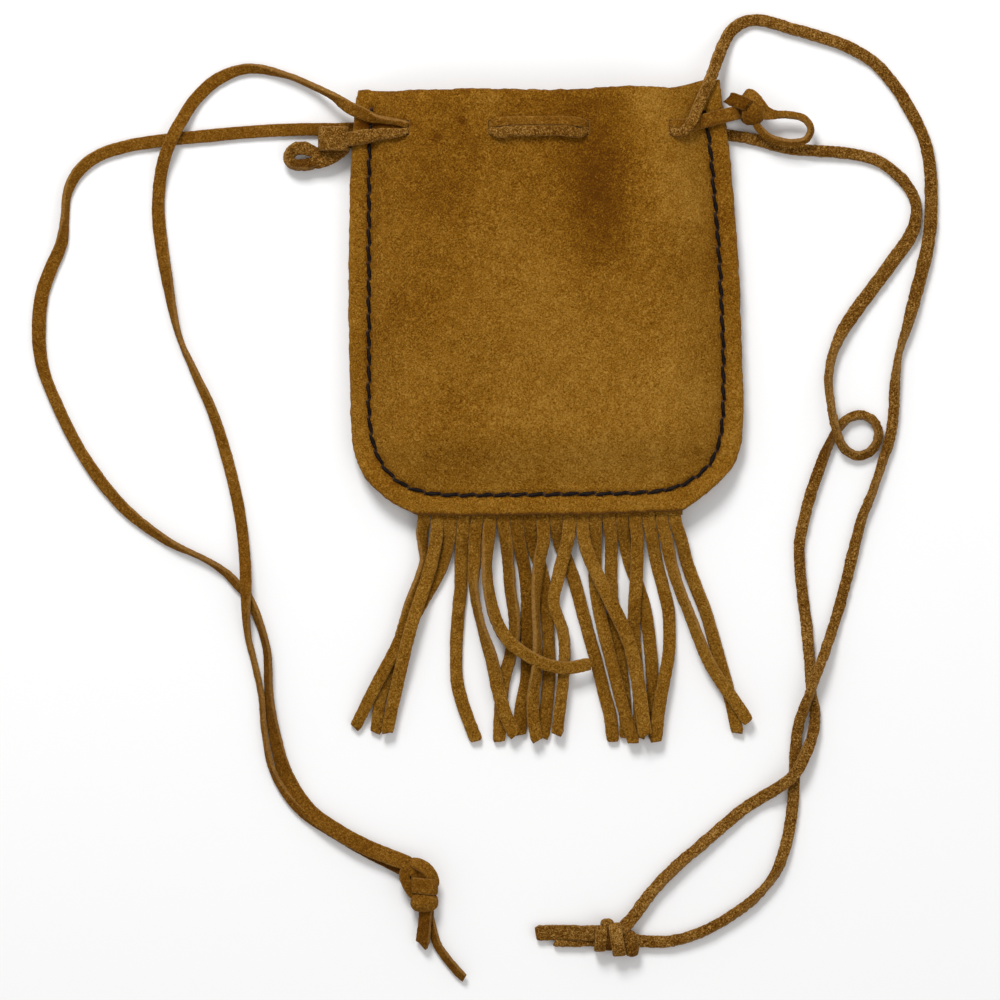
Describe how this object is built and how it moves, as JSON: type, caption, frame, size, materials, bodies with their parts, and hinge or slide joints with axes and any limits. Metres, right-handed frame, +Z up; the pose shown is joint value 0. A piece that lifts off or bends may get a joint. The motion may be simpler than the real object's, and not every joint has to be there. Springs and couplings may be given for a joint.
{
  "type": "fringed drawstring pouch",
  "caption": "Hand-sewn fringed suede pouch with a rounded bottom, a strip fringe caught in the bottom seam and two counter-pulling knotted lace drawstrings, lying on its back.",
  "frame": {"origin": "middle of the underside of the pouch with its fringe, on the surface it lies on, the free lace left out", "axes": "+X to the pouch's right, +Y from the fringe to the mouth, +Z up out of the front panel"},
  "size_m": [0.2256, 0.2414, 0.0127],
  "materials": {
    "suede": "matte napped suede",
    "fringe": "matte napped suede",
    "thread": "waxed thread",
    "left_lace": "matte suede lace",
    "right_lace": "matte suede lace, fuzzy"
  },
  "bodies": {
    "pouch": {"back_panel": "suede", "front_panel": "suede", "fringe_band": "fringe", "seam_thread_front": "thread", "seam_thread_back": "thread", "left_lace_woven_front": "left_lace", "left_lace_woven_back": "left_lace", "right_lace_woven_front": "right_lace", "right_lace_woven_back": "right_lace", "left_lace_front_upper": "left_lace", "left_lace_back_upper": "left_lace", "right_lace_front_upper": "right_lace", "right_lace_back_upper": "right_lace", "left_lace_edge_knot": "left_lace", "right_lace_edge_knot": "right_lace"},
    "fringe_left": {"fringe_strip_01": "fringe", "fringe_strip_02": "fringe", "fringe_strip_03": "fringe"},
    "fringe_single": {"fringe_strip_04": "fringe"},
    "fringe_middle": {"fringe_strip_05": "fringe", "fringe_strip_06": "fringe", "fringe_strip_07": "fringe", "fringe_strip_08": "fringe", "fringe_strip_09": "fringe", "fringe_strip_10": "fringe", "fringe_strip_11": "fringe", "fringe_strip_12": "fringe", "fringe_strip_13": "fringe", "fringe_strip_14": "fringe", "fringe_strip_15": "fringe", "fringe_strip_16": "fringe", "fringe_strip_17": "fringe", "fringe_strip_18": "fringe"},
    "fringe_right": {"fringe_strip_19": "fringe", "fringe_strip_20": "fringe"},
    "left_lace_end": {"left_lace_front_lower": "left_lace", "left_lace_back_lower": "left_lace", "left_tail_knot": "left_lace", "left_tail_front": "left_lace", "left_tail_back": "left_lace"},
    "right_lace_end": {"right_lace_front_lower": "right_lace", "right_lace_back_lower": "right_lace", "right_tail_knot": "right_lace", "right_tail_front": "right_lace", "right_tail_back": "right_lace"},
    "left_lace_bight": {"left_lace_loop": "left_lace"},
    "right_lace_bight": {"right_lace_loop": "right_lace"}
  },
  "joints": [
    {"name": "fringe_left_lift", "type": "hinge", "parent": "pouch", "child": "fringe_left", "pos_m": [0, -0.0266, 0.00375], "axis": [-1, 0, 0], "range_deg": [0, 90]},
    {"name": "fringe_single_lift", "type": "hinge", "parent": "pouch", "child": "fringe_single", "pos_m": [0, -0.0266, 0.00375], "axis": [-1, 0, 0], "range_deg": [0, 90]},
    {"name": "fringe_middle_lift", "type": "hinge", "parent": "pouch", "child": "fringe_middle", "pos_m": [0, -0.0266, 0.00375], "axis": [-1, 0, 0], "range_deg": [0, 90]},
    {"name": "fringe_right_lift", "type": "hinge", "parent": "pouch", "child": "fringe_right", "pos_m": [0, -0.0266, 0.00375], "axis": [-1, 0, 0], "range_deg": [0, 90]},
    {"name": "left_lace_swing", "type": "hinge", "parent": "pouch", "child": "left_lace_end", "pos_m": [-0.0762, -0.0452, 0.0028], "axis": [0, 0, 1], "range_deg": [-45, 0]},
    {"name": "right_lace_swing", "type": "hinge", "parent": "pouch", "child": "right_lace_end", "pos_m": [0.065, -0.0691, 0.0028], "axis": [0, 0, 1], "range_deg": [0, 60]},
    {"name": "left_lace_loop_lift", "type": "hinge", "parent": "pouch", "child": "left_lace_bight", "pos_m": [0.05545, 0.074, 0.0041], "axis": [0, -1, 0], "range_deg": [0, 80]},
    {"name": "right_lace_loop_lift", "type": "hinge", "parent": "pouch", "child": "right_lace_bight", "pos_m": [-0.05895, 0.065, 0.002], "axis": [0, 1, 0], "range_deg": [0, 80]}
  ]
}
